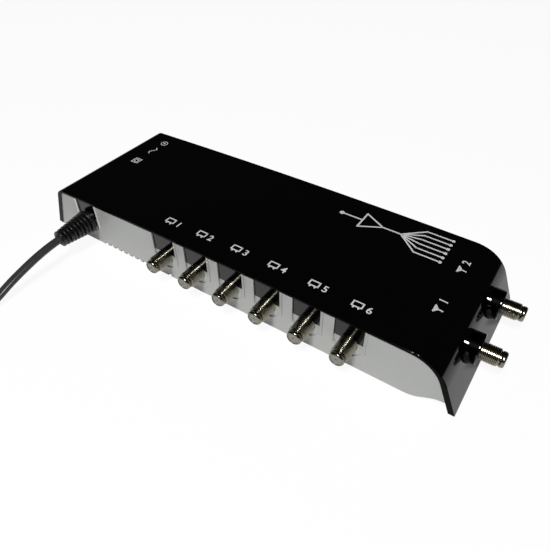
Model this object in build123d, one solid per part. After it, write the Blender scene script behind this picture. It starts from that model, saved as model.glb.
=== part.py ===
from build123d import *
import math
import os

# A mains-powered aerial splitter: a glossy black cover over a silver-grey tray, six outputs along
# the front, two inputs in the right end, and a flat mains lead with its plug. Millimetres, +Z up,
# front towards -Y. The origin is on the ground, below the middle of the case and its sockets.

# Case
cover_length = 279.0
cover_width = 93.0
cover_height = 31.2
cover_foot = 2.2
crown = 1.5
cover_wall = 1.2
lip_width = 4.0
lip_depth = 0.45
lip_thickness = 1.4
left_lean = 10.3
right_lean = 12.5
left_bend = 7.0
right_bend = 22.0
crown_from_bend = 1.4
edge_round = 0.35
joint_gap = 0.15
tray_wall = 1.8
tray_setback = 0.6
tray_bottom = 0.5
raised_bottom = 7.1
ramp_from_left = 257.5
ramp_length = 11.5

# Sockets, with the 3/8-32 thread of every type F connector
thread_radius = 4.7625
barrel_length = 16.0
output_reach = 12.0
output_count = 6
output_pitch = 24.15
first_output_from_left = 100.8
input_reach = 10.5
input_barrel_length = 23.5
input_pitch = 35.5
inputs_from_front = 50.25
axis_height = 16.5
bore_radius = 3.3
thread_length = 8.6
root_radius = 4.4
nose_length = 3.2
nose_radius = 4.2
nose_round = 1.2
groove_length = 0.6
groove_radius = 3.9
body_width = 13.0
body_depth = 9.0
body_above_axis = 5.4

# Openings round the sockets and the lead
notch_width = 16.4
notch_depth = 0.6
tooth_bottom = axis_height + 2.4
socket_hole = thread_radius + 0.25
collar_face_from_foot = 1.5
collar_inside = 22.0
collar_round = 0.6
bead_width = 1.3
bead_height = 0.4
bead_bottom = axis_height - 3.0

# Mains lead, plug and strain relief
lead_from_left = 35.0
lead_width = 5.6
lead_thickness = 3.4
lead_inside = 11.0
lead_clearance = 0.12
boot_length = 22.0
boot_neck = 6.0
boot_rings = 8
boot_rim_radius = 7.7
boot_tip_radius = 5.0
coil_radius = 41.0
coil_pitch = 6.2
coil_layer = 4.0
lower_half_turns = 7
upper_half_turns = 6

# Inside
board_bottom = 8.0
board_thickness = 1.6
board_from_left = 95.0
board_length = 171.0
board_from_front = 3.0
board_width = 86.0
floor_thickness = 1.8
wire_radius = 0.8

# Places that follow from the driving dimensions
left = -(cover_length + input_reach) / 2
right = left + cover_length
front = -(cover_width - output_reach) / 2
rear = front + cover_width
wall_face = front + tray_setback
wall_back = wall_face + tray_wall
floor_top = tray_bottom + floor_thickness
board_top = board_bottom + board_thickness
cover_rise = cover_height - cover_foot
left_angle = math.atan(left_lean / cover_rise)
right_angle = math.atan(right_lean / cover_rise)
output_xs = [left + first_output_from_left + output_pitch * n for n in range(output_count)]
input_ys = [front + inputs_from_front + side * input_pitch / 2 for side in (-1, 1)]
lead_x = left + lead_from_left
collar_face = right - collar_face_from_foot
output_body_front = front - output_reach + barrel_length
input_body_front = right + input_reach - input_barrel_length
screw_places = [(left + x, front + y) for x in (22.0, 245.0) for y in (14.0, 82.0)]
post_places = [(left + x, front + y) for x, y in ((100.0, 24.0), (100.0, 86.0), (180.0, 86.0), (256.0, 50.0))]
vent_width = 3.0
vent_reach = 30.0
vent_xs = [left + 45.5 + 4.9 * n for n in range(9)] + [left + 101.0]
foot_places = [(left + x, front + y) for x in (11.0, 236.0) for y in (12.0, 84.0)]
can_box = (left + 112.0, left + 236.0, front + 20.0, front + 66.0)
can_top = 22.0
can_sheet = 0.4
core_x = left + 62.0
core_y = front + 50.0
core_length = 42.0
core_depth = 35.0
core_stack = 13.0
core_middle = 14.8
leg_width = 14.0
window_width = 7.0
window_length = 21.0
tube_wall = 0.9
lug_reach = 27.0
strap_half = 5.0
primary_swell = 9.6
terminal_x = left + 24.0
terminal_y = front + 36.0
secondary_swell = 10.6


def box(x0, x1, y0, y1, z0, z1):
    """Block between two opposite corners."""
    return Pos((x0 + x1) / 2, (y0 + y1) / 2, (z0 + z1) / 2) * Box(x1 - x0, y1 - y0, z1 - z0)


def rod(start, end, radius):
    """Round bar between two points."""
    way = Vector(*end) - Vector(*start)
    standing = Cylinder(radius, way.length, align=(Align.CENTER, Align.CENTER, Align.MIN))
    return Plane(origin=start, z_dir=way) * standing


def prism(face, y0, y1):
    """An XZ outline carried from one y to another."""
    return extrude(Pos(0, y0, 0) * (Plane.XZ * face), amount=y1 - y0, dir=(0, 1, 0))


def left_side(height, inset):
    """Place along X of the left end's face, drawn in by an inset, at a height."""
    return left + left_lean * (height - cover_foot) / cover_rise + inset / math.cos(left_angle)


def right_side(height, inset):
    """Place along X of the right end's face, drawn in by an inset, at a height."""
    return right - right_lean * (height - cover_foot) / cover_rise - inset / math.cos(right_angle)


def roof(x):
    """Height of the cover's crowned top at a place along X."""
    low = left_side(cover_height, 0)
    high = right_side(cover_height, 0)
    from_middle = (2 * x - low - high) / (high - low)
    return cover_height + crown * (1 - from_middle**2)


def outline(inset, bottom):
    """The cover's outline drawn in by an inset: two leaning ends with their bends, and a crowned top."""
    top = cover_height - inset
    lower_left = (left_side(bottom, inset), bottom)
    upper_left = (left_side(top, inset), top)
    upper_right = (right_side(top, inset), top)
    lower_right = (right_side(bottom, inset), bottom)
    crown_left = upper_left[0] + crown_from_bend * left_bend
    crown_right = upper_right[0] - crown_from_bend * right_bend
    crest = [(x, roof(x) - inset) for x in (crown_left, (crown_left + crown_right) / 2, crown_right)]
    sides = Polyline(crest[0], upper_left, lower_left, lower_right, upper_right, crest[2])
    face = make_face(sides + ThreePointArc(*reversed(crest)))
    for corner, radius in ((upper_left, left_bend), (upper_right, right_bend)):
        face = fillet(face.vertices().sort_by_distance((*corner, 0))[0], max(radius - inset, 1.0))
    return face


def below_floor(rise):
    """Everything under the tray's floor line, which climbs a soft ramp to the raised corner."""
    spare = 20.0
    ramp_start = left + ramp_from_left
    low = tray_bottom + rise
    high = raised_bottom + rise
    foot = (ramp_start, low)
    crest = (ramp_start + ramp_length, high)
    face = Polygon(
        (left - spare, -spare), (right + spare, -spare), (right + spare, high),
        crest, foot, (left - spare, low), align=None,
    )
    for corner in (foot, crest):
        face = fillet(face.vertices().sort_by_distance((*corner, 0))[0], 16.0)
    return face


def input_collar(y):
    """Round collar with an upright face, moulded on the leaning end round an input."""
    collar = rod((right - collar_inside, y, axis_height), (collar_face, y, axis_height), notch_width / 2)
    return fillet(collar.edges().group_by(Axis.X)[-1], collar_round)


def inside_plate(x):
    """Height in the middle of the cover's plate, where its posts and teeth end."""
    return roof(x) - cover_wall / 2


def make_top_cover():
    """Cover: top and leaning ends in one moulding, with collars, teeth and screw posts."""
    body = prism(outline(0, cover_foot), front, rear)
    by_depth = body.edges().group_by(Axis.Y)
    outer_rims = ShapeList(by_depth[0] + by_depth[-1])
    body = fillet(outer_rims.filter_by(lambda edge: edge.center().Z > cover_foot + 0.1), edge_round)
    for y in input_ys:
        body += input_collar(y)
    body -= prism(outline(cover_wall, -1.0), front + lip_depth, rear - lip_depth)
    within_lip = Pos(0, lip_width - lip_thickness, 0) * outline(lip_width, -5.0)
    body -= prism(within_lip, front - 1, rear + 1)
    for x in output_xs + [lead_x]:
        half = notch_width / 2 - joint_gap
        tooth_face = wall_face + notch_depth - 0.2
        body += box(x - half, x + half, tooth_face, wall_back, tooth_bottom, inside_plate(x))
    for x in output_xs:
        body -= rod((x, front - 1, axis_height), (x, wall_back + 1, axis_height), socket_hole)
    body -= rod((lead_x, front - 1, axis_height), (lead_x, wall_back + 1, axis_height), boot_neck + 0.1)
    for y in input_ys:
        body -= rod((right - 2 * collar_inside, y, axis_height), (right + 5, y, axis_height), socket_hole)
    for x, y in screw_places:
        body += rod((x, y, 5.1), (x, y, inside_plate(x)), 3.4)
        body -= rod((x, y, 5.0), (x, y, 15.0), 1.25)
    return body


def keyhole(x, y):
    """Wall-fixing keyhole through the floor: the screw's head enters, its neck slides to the rear."""
    neck_way = 8.0
    hole = rod((x, y, 0), (x, y, floor_top + 0.5), 4.0)
    hole += rod((x, y + neck_way, 0), (x, y + neck_way, floor_top + 0.5), 2.1)
    return hole + box(x - 2.1, x + 2.1, y, y + neck_way, 0, floor_top + 0.5)


def make_base_tray():
    """Tray: floor with two walls, raised at its right-hand end, with cradles, vents, posts and keyholes."""
    inset = cover_wall + joint_gap
    back_face = rear - tray_setback
    body = prism(outline(inset, -5.0), wall_face, back_face) - prism(below_floor(0), front, rear)
    lower = body.edges().filter_by(lambda edge: edge.center().Z < raised_bottom + 0.1)
    body = fillet(lower.group_by(Axis.Y)[0] + lower.group_by(Axis.Y)[-1], 0.8)
    wide_face = Pos(0, cover_height, 0) * Rectangle(3 * cover_length, 2 * cover_height)
    over_floor = wide_face - below_floor(floor_thickness)
    body -= prism(over_floor, wall_back, back_face - tray_wall)
    for x in output_xs + [lead_x]:
        body = cut_notch(body, x, boot_neck + 0.1 if x == lead_x else socket_hole)
    for x in vent_xs:
        body -= box(x - vent_width / 2, x + vent_width / 2, front - 1, front + vent_reach, 0, floor_top + 0.1)
    for x, y in screw_places:
        body += rod((x, y, tray_bottom), (x, y, 5.0), 4.6)
        body -= rod((x, y, 0), (x, y, 3.8), 2.9) + rod((x, y, 0), (x, y, 6.0), 1.6)
    for x, y in post_places:
        body += rod((x, y, tray_bottom + 0.5), (x, y, board_bottom), 3.2)
        body -= rod((x, y, 3.5), (x, y, board_bottom + 1), 1.1)
    for x, y in foot_places:
        body -= rod((x, y, 0), (x, y, tray_bottom + 0.5), 5.0)
    for x in (left + 25.0, left + 215.0):
        body -= keyhole(x, front + 66.0)
    for side in (-1, 1):
        lug_x = core_x + side * lug_reach
        body += rod((lug_x, core_y, tray_bottom + 0.5), (lug_x, core_y, 7.3), 3.6)
        body -= rod((lug_x, core_y, 3.0), (lug_x, core_y, 8.0), 1.1)
    saddle_top = axis_height - lead_thickness / 2
    body += box(lead_x - 9, lead_x + 9, front + 6.5, front + 12.5, tray_bottom + 0.5, saddle_top)
    for side in (-1, 1):
        screw_x = lead_x + side * 6
        body -= rod((screw_x, front + 9.5, 5.0), (screw_x, front + 9.5, saddle_top + 1), 1.0)
    return body


def cut_notch(body, x, hole):
    """U-shaped recess in the front wall, open through at the tooth, with a cradle below the axis."""
    half = notch_width / 2
    recess_back = wall_face + notch_depth
    bead_face = wall_face - bead_height
    bead_top = roof(x) - lip_thickness - joint_gap
    for side in (-1, 1):
        inner, outer = sorted((x + side * half, x + side * (half + bead_width)))
        body += box(inner, outer, bead_face, wall_face + 0.5, bead_bottom, bead_top)
    body -= box(x - half, x + half, front - 1, recess_back, axis_height, cover_height + crown)
    body -= rod((x, front - 1, axis_height), (x, recess_back, axis_height), half)
    body -= box(x - half, x + half, front - 1, wall_back + 0.1, tooth_bottom - joint_gap, cover_height + crown)
    return body - rod((x, front - 1, axis_height), (x, wall_back + 1, axis_height), hole)


def socket_shell(length):
    """Threaded barrel and block of a socket: barrel along -Y, board below, block's face at y 0."""
    nose_start = nose_length - length
    groove_end = nose_start - groove_length
    barrel = rod((0, 0, 0), (0, nose_start + thread_length, 0), root_radius)
    barrel += rod((0, nose_start + thread_length, 0), (0, nose_start, 0), thread_radius)
    barrel += rod((0, nose_start, 0), (0, groove_end, 0), groove_radius)
    tip = rod((0, groove_end, 0), (0, -length, 0), nose_radius)
    barrel += fillet(tip.edges().group_by(Axis.Y)[0], nose_round)
    half = body_width / 2
    below = axis_height - board_top
    block = box(-half, half, 0, body_depth, -below, body_above_axis)
    shell = barrel + fillet(block.edges().filter_by(Axis.Y).group_by(Axis.Z)[-1], 1.0)
    shell -= rod((0, -length - 1, 0), (0, 6.0, 0), bore_radius)
    shell -= box(-1.2, 1.2, 5.9, body_depth + 1, -below - 1, 1.2)
    for x in (-5.2, 5.2):
        for y in (1.4, 7.4):
            shell += rod((x, y, -below), (x, y, -below - board_thickness - 1.0), 0.5)
    return shell


def socket_insulator(length):
    """White insulator with the hole for the plug's inner wire."""
    disc = rod((0, -length + 0.5, 0), (0, 6.0, 0), bore_radius)
    hollow = rod((0, -length + 2.0, 0), (0, 6.1, 0), 1.2)
    return disc - hollow - rod((0, -length, 0), (0, 0, 0), 0.6)


def socket_contact(length):
    """Spring contact: a tube that grips the inner wire, with a tail down through the board."""
    below = axis_height - board_top
    tube = rod((0, -length + 2.0, 0), (0, 6.8, 0), 1.2) - rod((0, -length, 0), (0, 5.0, 0), 0.5)
    return tube + box(-0.4, 0.4, 6.0, 6.8, -below - board_thickness - 1.0, 0)


def place_output(piece, x):
    """Move a socket's piece to an output on the front."""
    return Pos(x, output_body_front, axis_height) * piece


def place_input(piece, y):
    """Move a socket's piece to an input on the right end."""
    return Pos(input_body_front, y, axis_height) * (Rot(0, 0, 90) * piece)


def make_circuit_board():
    """Board with the holes for the sockets' pins, the cover's posts and its own screws."""
    x0 = left + board_from_left
    y0 = front + board_from_front
    board = box(x0, x0 + board_length, y0, y0 + board_width, board_bottom, board_top)
    drill = rod((0, 0, board_bottom - 1 - axis_height), (0, 0, board_top + 1 - axis_height), 0.7)
    holes = [Pos(px, py, 0) * drill for px in (-5.2, 5.2) for py in (1.4, 7.4)]
    holes.append(Pos(0, 6.4, 0) * drill)
    for x in output_xs:
        board -= [place_output(hole, x) for hole in holes]
    for y in input_ys:
        board -= [place_input(hole, y) for hole in holes]
    for x, y in screw_places[2:]:
        board -= rod((x, y, board_bottom - 1), (x, y, board_top + 1), 4.2)
    for x, y in post_places:
        board -= rod((x, y, board_bottom - 1), (x, y, board_top + 1), 1.3)
    return board


def make_screening_can():
    """Four tinned walls soldered to the board round the radio-frequency stage, and one divider."""
    x0, x1, y0, y1 = can_box
    walls = box(x0, x1, y0, y1, board_top, can_top)
    walls -= box(x0 + can_sheet, x1 - can_sheet, y0 + can_sheet, y1 - can_sheet, board_top - 1, can_top + 1)
    divider = left + 205.0
    walls += box(divider, divider + can_sheet, y0, y1, board_top + 2, can_top)
    return walls


def make_screening_lid():
    """Flat lid with a short skirt outside the can."""
    x0, x1, y0, y1 = can_box
    gap = 0.05
    skirt = can_sheet + gap
    lid = box(x0 - skirt, x1 + skirt, y0 - skirt, y1 + skirt, can_top - 3.0, can_top + can_sheet)
    lid -= box(x0 - gap, x1 + gap, y0 - gap, y1 + gap, can_top - 4.0, can_top)
    for n in range(6):
        x = x0 + 12 + 20 * n
        lid -= rod((x, (y0 + y1) / 2, can_top - 1), (x, (y0 + y1) / 2, can_top + 1), 2.0)
    return lid


def make_splitter_ferrites():
    """Two-hole ferrite cores: the taps and the six-way splitter tree."""
    cores = []
    for n in range(7):
        x = left + 122.0 + 12.0 * n
        y = front + (30.0 if n % 2 else 38.0)
        core = box(x - 3.2, x + 3.2, y - 2, y + 2, board_top, board_top + 3.6)
        middle = board_top + 1.8
        for hole in (x - 1.5, x + 1.5):
            core -= rod((hole, y - 3, middle), (hole, y + 3, middle), 0.8)
        cores.append(core)
    return Compound(cores)


def make_amplifier_transistors():
    """Two amplifier stages in round-headed packages with a flat tab."""
    stages = []
    y = front + 43.0
    for x in (left + 212.0, left + 226.0):
        tab = box(x - 4.5, x + 4.5, y - 1, y + 1, board_top, board_top + 0.5)
        stages.append(tab + rod((x, y, board_top), (x, y, board_top + 2.4), 2.5))
    return Compound(stages)


def make_chip_parts():
    """Chip resistors and capacitors in rows beside the ferrites."""
    chips = []
    for n in range(18):
        x = left + 118.0 + 6.2 * n
        y = front + (24.0, 46.0, 54.0)[n % 3]
        chips.append(box(x - 1.0, x + 1.0, y - 0.6, y + 0.6, board_top, board_top + 0.6))
    return Compound(chips)


def make_transformer_core():
    """Stack of E and I laminations lying flat, with a window on each side of the middle leg."""
    middle = Pos(core_x, core_y, core_middle)
    core = middle * Box(core_length, core_depth, core_stack)
    for side in (-1, 1):
        window = Pos(side * (leg_width + window_width) / 2, 0, 0)
        core -= middle * window * Box(window_width, window_length, core_stack + 1)
    return core


def make_transformer_bobbin():
    """Two-chamber bobbin: a square tube on the middle leg with three flanges."""
    clear = 0.1
    length = window_length - 2 * clear
    flange = 1.0
    flange_height = 23.2
    middle = Pos(core_x, core_y, core_middle)
    shape = middle * Box(leg_width + 2 * tube_wall, length, core_stack + 2 * tube_wall)
    for y in (flange / 2 - length / 2, 0, length / 2 - flange / 2):
        shape += middle * Pos(0, y, 0) * Box(leg_width + 2 * (window_width - clear), flange, flange_height)
    return shape - middle * Box(leg_width + clear, length + 1, core_stack + clear)


def winding(y0, y1, swell):
    """Rounded block of enamelled wire round the bobbin's tube, between two flanges."""
    middle = Pos(core_x, (y0 + y1) / 2, core_middle)
    block = middle * Box(leg_width + 2 * (window_width - 1.0), y1 - y0, 2 * swell)
    block = fillet(block.edges().filter_by(Axis.Y), 2.5)
    return block - middle * Box(leg_width + 2 * tube_wall, y1 - y0 + 1, core_stack + 2 * tube_wall)


def make_transformer_strap():
    """Steel strap over the core's ends with a foot on each tray post."""
    top = core_middle + core_stack / 2
    sheet = 0.8
    foot_bottom = 7.3
    outer = core_length / 2 + sheet
    legs = []
    for side in (-1, 1):
        inner_x = core_length / 2
        leg = box(inner_x, outer, -strap_half, strap_half, foot_bottom, top)
        leg += box(inner_x, lug_reach + 4, -strap_half, strap_half, foot_bottom, foot_bottom + sheet)
        leg -= rod((lug_reach, 0, foot_bottom - 1), (lug_reach, 0, foot_bottom + 2), 1.3)
        leg += box(inner_x - 3, outer, -strap_half, strap_half, top, top + sheet)
        legs.append(Pos(core_x, core_y, 0) * (leg if side > 0 else mirror(leg, about=Plane.YZ)))
    return Compound(legs)


def make_smoothing_capacitors():
    """Two standing electrolytic capacitors with a pressed groove near the foot."""
    cans = []
    for x in (left + 110.0, left + 124.0):
        y = front + 78.0
        can = rod((x, y, board_top), (x, y, 25.5), 5.0)
        can = fillet(can.edges().group_by(Axis.Z)[-1], 0.6)
        groove = rod((x, y, 11.5), (x, y, 12.3), 6.0) - rod((x, y, 11.0), (x, y, 13.0), 4.6)
        cans.append(can - groove)
    return Compound(cans)


def make_bridge_rectifier():
    """Moulded bridge rectifier, flat on the board."""
    x = left + 138.0
    y = front + 78.0
    case = box(x - 3.2, x + 3.2, y - 4.2, y + 4.2, board_top, board_top + 3.4)
    return fillet(case.edges().filter_by(Axis.Z), 0.4)


def make_voltage_regulator():
    """Regulator standing against its heat sink, on three legs through the board's copper."""
    x = left + 156.0
    y = front + 74.0
    case = box(x - 5, x + 5, y, y + 4.4, board_top + 2.5, board_top + 11.5)
    for n in (-1, 0, 1):
        case += box(x + 2.5 * n - 0.4, x + 2.5 * n + 0.4, y + 1.5, y + 2.0, board_top, board_top + 2.6)
    return case


def make_heat_sink():
    """Finned aluminium plate behind the regulator."""
    x = left + 156.0
    y = front + 78.4
    plate = box(x - 12, x + 12, y, y + 2, board_top, 25.0)
    for n in range(7):
        fin = x - 12 + n * 23.0 / 6
        plate += box(fin, fin + 1.0, y + 1.5, y + 8, board_top, 25.0)
    return plate


def make_terminal_block():
    """Two-pole block for the mains, with its wire holes towards the lead and the transformer."""
    x = terminal_x
    y = terminal_y
    body = box(x - 8.5, x + 8.5, y - 5.5, y + 5.5, floor_top, floor_top + 13)
    for side in (-1, 1):
        pole = x + side * 4.2
        body -= rod((pole, y - 6, floor_top + 5), (pole, y + 6, floor_top + 5), 1.5)
        body -= rod((pole, y, floor_top + 9), (pole, y, floor_top + 14), 2.3)
    return body


def make_terminal_screws():
    """Slotted screws that hold the wires in the terminal block."""
    screws = []
    for side in (-1, 1):
        x = terminal_x + side * 4.2
        y = terminal_y
        head = rod((x, y, floor_top + 9), (x, y, floor_top + 11.5), 2.2)
        screws.append(head - box(x - 3, x + 3, y - 0.3, y + 0.3, floor_top + 10.7, floor_top + 12))
    return Compound(screws)


def make_thermal_fuse():
    """Fuse link strapped flat on the primary winding."""
    y = core_y + 5.0
    z = core_middle + primary_swell + 1.2
    body = rod((core_x - 5, y, z), (core_x + 5, y, z), 1.2)
    return body + rod((core_x - 9, y, z), (core_x + 9, y, z), 0.35)


def screw(x, y, head_low, head_high, head_radius, tip, shank_radius):
    """Cross-headed screw: its head lies between two heights, its shank runs on to the tip."""
    outer = head_low if tip > head_high else head_high
    inner = head_high if tip > head_high else head_low
    body = rod((x, y, head_low), (x, y, head_high), head_radius)
    body += rod((x, y, inner), (x, y, tip), shank_radius)
    reach = 0.6 * head_radius
    low, high = sorted((outer, outer + (0.7 if inner > outer else -0.7)))
    cross = box(x - reach, x + reach, y - 0.25, y + 0.25, low, high)
    cross += box(x - 0.25, x + 0.25, y - reach, y + reach, low, high)
    return body - cross


def make_cord_clamp():
    """Bar screwed down over the lead inside the case."""
    low = axis_height + lead_thickness / 2
    bar = box(lead_x - 9, lead_x + 9, front + 6.5, front + 12.5, low, low + 3)
    for side in (-1, 1):
        x = lead_x + side * 6
        bar -= rod((x, front + 9.5, low - 1), (x, front + 9.5, low + 4), 1.2)
    return bar


def lead_section(start, way, clearance=0.0):
    """Flat oval section of the lead, with its broad side level."""
    section = SlotOverall(lead_width + 2 * clearance, lead_thickness + 2 * clearance)
    return Plane(origin=start, x_dir=(1, 0, 0), z_dir=way) * section


def route_radii(points):
    """Radius at each inner point: 0.45 of the shorter run over the tangent of half the turn."""
    radii = []
    for before, here, after in zip(points, points[1:], points[2:]):
        run_in = Vector(*here) - Vector(*before)
        run_out = Vector(*after) - Vector(*here)
        turn = math.radians(run_in.get_angle(run_out))
        radii.append(0.45 * min(run_in.length, run_out.length) / math.tan(turn / 2))
    return radii


def swept(name, path, section, area):
    """Sweep a section along a path, and compare the volume with section times length."""
    tube = sweep(section, path=path)
    print(name, "length", round(path.length, 1), "volume ratio", round(tube.volume / (area * path.length), 4))
    return tube


lead_area = (lead_width - lead_thickness) * lead_thickness + math.pi * lead_thickness**2 / 4
ground_level = lead_thickness / 2 + 0.1
coil_start = (lead_x - 1.8, front - 96.5, ground_level)
lead_points = [
    (lead_x, front + lead_inside, axis_height),
    (lead_x, front - 9.0, axis_height),
    (lead_x - 0.15, front - 33.0, axis_height - 0.1),
    (lead_x - 1.0, front - 58.0, axis_height - 6.6),
    (lead_x - 1.4, front - 74.0, ground_level + 1.6),
    (lead_x - 1.8, front - 85.5, ground_level),
    coil_start,
]


def make_mains_lead():
    """Free stretch of the lead, from the clamp through the boot down to the ground."""
    radii = route_radii(lead_points)
    print("mains_lead radii", [round(radius) for radius in radii])
    path = Wire(FilletPolyline(*lead_points, radius=radii).edges())
    return swept("mains_lead", path, lead_section(lead_points[0], (0, -1, 0)), lead_area)


def half_turn(start, centre_x, rise):
    """Half a turn about an upright axis, clockwise from above, climbing by a rise."""
    x, y, z = start
    radius = abs(x - centre_x)
    side = -1 if x > centre_x else 1
    end = (2 * centre_x - x, y, z + rise)
    middle = (centre_x, y + side * math.hypot(radius, rise / 2), z + rise / 2)
    return ThreePointArc(start, middle, end), end


def coil_path():
    """Flat spiral inwards on the ground, a climb, and a spiral outwards on top, as half turns."""
    straight = lead_width
    start = (coil_start[0], coil_start[1] - straight, coil_start[2])
    pieces = [Line(coil_start, start)]
    step = coil_pitch / 2
    here = start
    radius = coil_radius
    for n in range(lower_half_turns):
        towards = -1 if n % 2 == 0 else 1
        arc, here = half_turn(here, here[0] + towards * radius, 0)
        pieces.append(arc)
        radius -= step
    arc, here = half_turn(here, here[0] + radius, coil_layer)
    pieces.append(arc)
    for n in range(upper_half_turns):
        radius += step
        towards = -1 if n % 2 == 0 else 1
        arc, here = half_turn(here, here[0] + towards * radius, 0)
        pieces.append(arc)
    end = (here[0], here[1] - straight, here[2])
    pieces.append(Line(here, end))
    return Wire([piece.edge() for piece in pieces]), end


def least_gap(path):
    """Least clear distance between stretches of the coil, on points a millimetre or two apart."""
    count = 900
    spots = [path @ (n / count) for n in range(count + 1)]
    apart = math.ceil(30.0 * count / path.length)
    least = math.inf
    for n, here in enumerate(spots):
        for other in spots[n + apart:]:
            level = math.hypot(here.X - other.X, here.Y - other.Y) - lead_width
            upright = abs(here.Z - other.Z) - lead_thickness
            least = min(least, max(level, upright))
    return least


coil_wire, coil_end = coil_path()


def make_mains_lead_coil():
    """The rest of the lead, wound flat in two layers."""
    print("mains_lead_coil least gap", round(least_gap(coil_wire), 2))
    return swept("mains_lead_coil", coil_wire, lead_section(coil_start, (0, -1, 0)), lead_area)


plug_x = coil_end[0] - 0.6
plug_neck_y = coil_end[1] - 41.0
plug_outlet = 10.0
tail_points = [
    coil_end,
    (coil_end[0], coil_end[1] - 13.0, coil_end[2]),
    (plug_x, plug_neck_y + 13.5, plug_outlet),
    (plug_x, plug_neck_y, plug_outlet),
]


def make_mains_lead_tail():
    """Short stretch from the coil to the plug."""
    radii = route_radii(tail_points)
    print("mains_lead_tail radii", [round(radius) for radius in radii])
    path = Wire(FilletPolyline(*tail_points, radius=radii).edges())
    return swept("mains_lead_tail", path, lead_section(coil_end, (0, -1, 0)), lead_area)


def lead_bore(y0, y1):
    """Clear passage for the lead through the boot and the wall."""
    face = lead_section((lead_x, y1, axis_height), (0, -1, 0), lead_clearance)
    return extrude(face, amount=y1 - y0, dir=(0, -1, 0))


def make_strain_relief_boot():
    """Rubber boot: a rim on the wall, then tapering rings held apart by spines, and a short neck."""
    face = wall_face + notch_depth - 0.2

    def ring(y, thick, radius):
        return rod((lead_x, face - y, axis_height), (lead_x, face - y - thick, axis_height), radius)

    rim = fillet(ring(0, 2.4, boot_rim_radius).edges().group_by(Axis.Y)[0], 0.7)
    body = rim + rod((lead_x, face, axis_height), (lead_x, wall_back, axis_height), boot_neck)
    body += rod((lead_x, wall_back, axis_height), (lead_x, wall_back + 1.6, axis_height), 7.4)
    pitch = (boot_length - 2.4) / boot_rings
    thick = 0.55 * pitch
    for n in range(boot_rings):
        radius = boot_rim_radius - 0.5 + (boot_tip_radius - boot_rim_radius + 0.5) * n / (boot_rings - 1)
        y = 2.4 + pitch * n
        body += ring(y + pitch - thick, thick, radius)
        reach = radius - 0.5
        spines = [(-1.3, 1.3, 0, reach)]
        spines += [(-reach, reach, -1.3, 1.3)] if n % 2 else [(-1.3, 1.3, -reach, 0)]
        for x0, x1, z0, z1 in spines:
            spine = box(x0, x1, -y - pitch, -y, z0, z1)
            body += Pos(lead_x, face, axis_height) * spine
    body += ring(boot_length, 3.0, 3.9)
    return body - lead_bore(face - boot_length - 5, wall_back + 3)


def make_plug_body():
    """Moulded plug lying on its back with its pins up and the lead's neck towards the coil."""
    face_y = plug_neck_y - 14.0
    width = 48.0
    length = 44.0
    thick = 20.0
    block = box(plug_x - width / 2, plug_x + width / 2, face_y - length, face_y, 0, thick)
    block = fillet(block.edges().filter_by(Axis.Z), 9.0)
    block = fillet(block.edges().group_by(Axis.Z)[-1], 1.0)
    block = fillet(block.edges().group_by(Axis.Z)[0], 3.0)
    neck = rod((plug_x, face_y - 2, plug_outlet), (plug_x, plug_neck_y, plug_outlet), 4.6)
    for n in range(4):
        y = plug_neck_y - 1.5 - 3.2 * n
        neck += rod((plug_x, y, plug_outlet), (plug_x, y - 1.6, plug_outlet), 5.4 + 0.4 * n)
    holes = Compound([pin_box(n, 0) for n in range(3)])
    carrier = plug_carrier_box()
    return block + neck - holes - carrier - plug_fuse_room()


def pin_box(which, spare):
    """One pin of a three-pin plug: two for the supply near the lead, and one for earth beyond."""
    supply_y = plug_neck_y - 14.0 - 11.0
    x = plug_x + (-11.1, 11.1, 0)[which]
    y = supply_y - (0, 0, 22.2)[which]
    half_x = (3.2, 3.2, 2.0)[which]
    half_y = (2.0, 2.0, 4.0)[which]
    top = 20.0 + (17.7, 17.7, 22.7)[which]
    return box(x - half_x, x + half_x, y - half_y, y + half_y, 12.0, top + spare)


def make_plug_pins():
    """Three rectangular brass pins with chamfered ends."""
    pins = []
    for n in range(3):
        pin = pin_box(n, 0)
        pins.append(chamfer(pin.edges().group_by(Axis.Z)[-1], 0.7))
    return Compound(pins)


def plug_carrier_box():
    """Fuse carrier set flush in the pin face, between the pins."""
    y = plug_neck_y - 14.0 - 22.0
    return box(plug_x + 6.0, plug_x + 13.0, y - 15.0, y + 4.5, 17.5, 20.0)


def plug_fuse_room():
    """Hollow under the carrier for the cartridge fuse."""
    y = plug_neck_y - 14.0 - 22.0
    return rod((plug_x + 9.5, y - 13.0, 14.3), (plug_x + 9.5, y + 2.4, 14.3), 3.2)


def make_plug_fuse():
    """Cartridge fuse under its carrier."""
    y = plug_neck_y - 14.0 - 22.0
    return rod((plug_x + 9.5, y - 12.9, 14.3), (plug_x + 9.5, y + 2.3, 14.3), 3.15)


def wire(points):
    """Insulated inner wire along a short route."""
    radii = route_radii(points)
    path = Wire(FilletPolyline(*points, radius=radii).edges())
    section = Plane(origin=points[0], z_dir=path % 0) * Circle(wire_radius)
    return sweep(section, path=path)


def make_mains_cores(side):
    """One core of the lead, from the clamp back to the terminal block."""
    pole = terminal_x + side * 4.2
    level = floor_top + 5
    points = [
        (lead_x + side * 1.3, front + lead_inside, axis_height),
        (lead_x + side * 1.3, front + 17.0, axis_height),
        (lead_x + side * 1.3 - 4, front + 22.5, axis_height - 3.5),
        (pole + 0.6, front + 28.0, level + 0.4),
        (pole, front + 34.0, level),
    ]
    return wire(points)


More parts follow.
